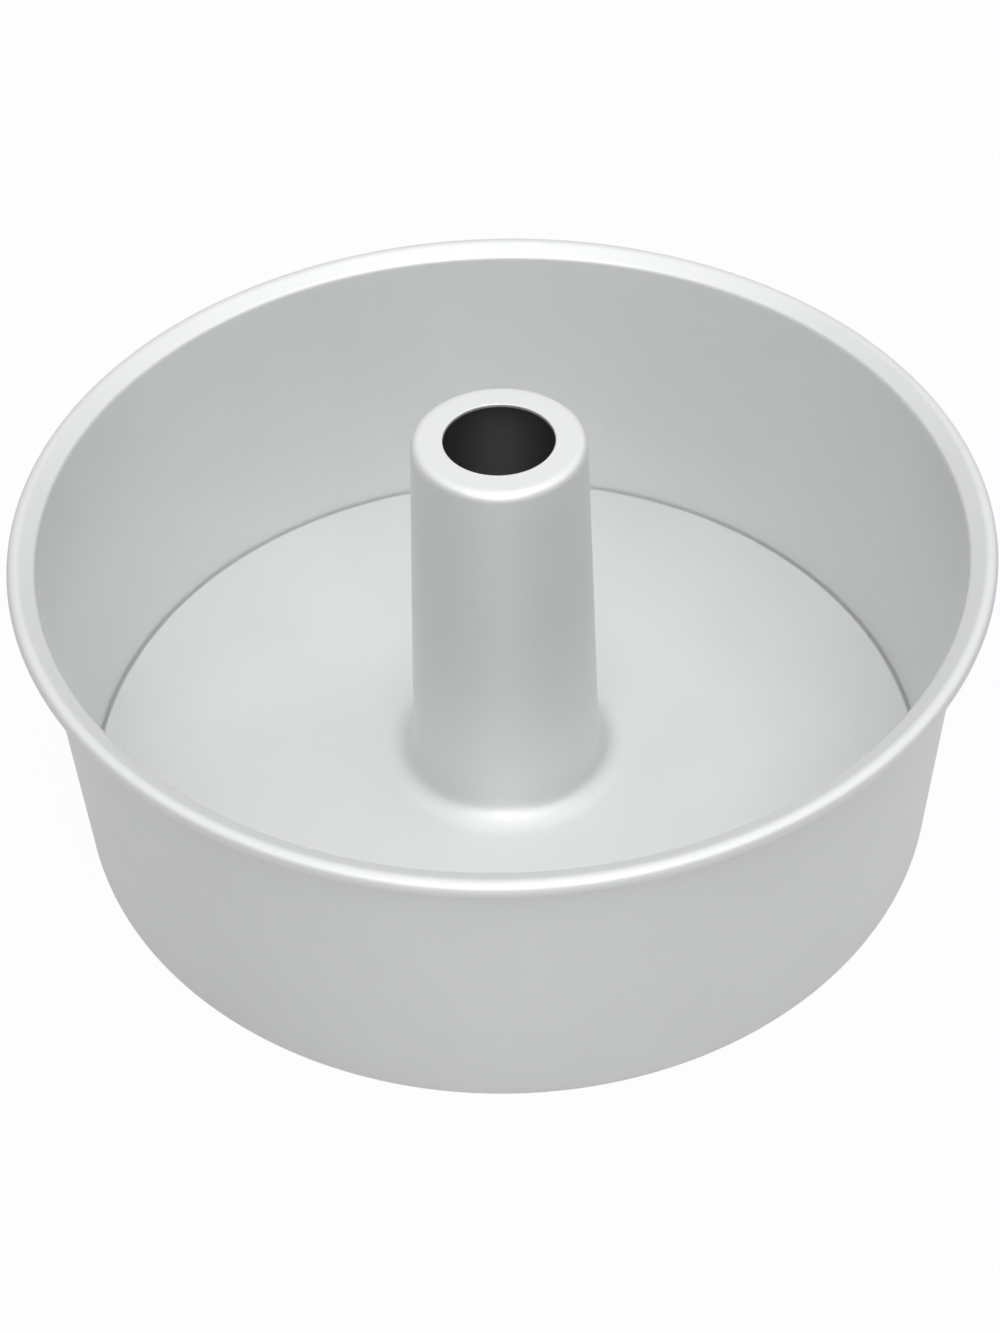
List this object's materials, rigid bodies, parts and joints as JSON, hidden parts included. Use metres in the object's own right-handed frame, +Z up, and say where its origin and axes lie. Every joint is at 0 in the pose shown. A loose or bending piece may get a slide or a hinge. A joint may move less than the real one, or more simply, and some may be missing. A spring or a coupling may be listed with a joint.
{
  "type": "angel food cake pan",
  "caption": "Round cake pan with a rolled rim and a lift-out base drawn up into a tall open centre tube.",
  "frame": {"origin": "centre of the circle the pan stands on, on the axis of its tube", "axes": "+Z up along the tube's axis, the way the base lifts out; the pan is round, so +X and +Y are free"},
  "size_m": [0.214, 0.214, 0.0958],
  "materials": {
    "anodised_aluminium": "satin anodised"
  },
  "bodies": {
    "side_wall": {"side_wall": "anodised_aluminium"},
    "tube_base": {"tube_base": "anodised_aluminium"}
  },
  "joints": [
    {"name": "base_lift", "type": "slide", "parent": "side_wall", "child": "tube_base", "axis": [0, 0, 1], "range_m": [0, 0.1]}
  ]
}
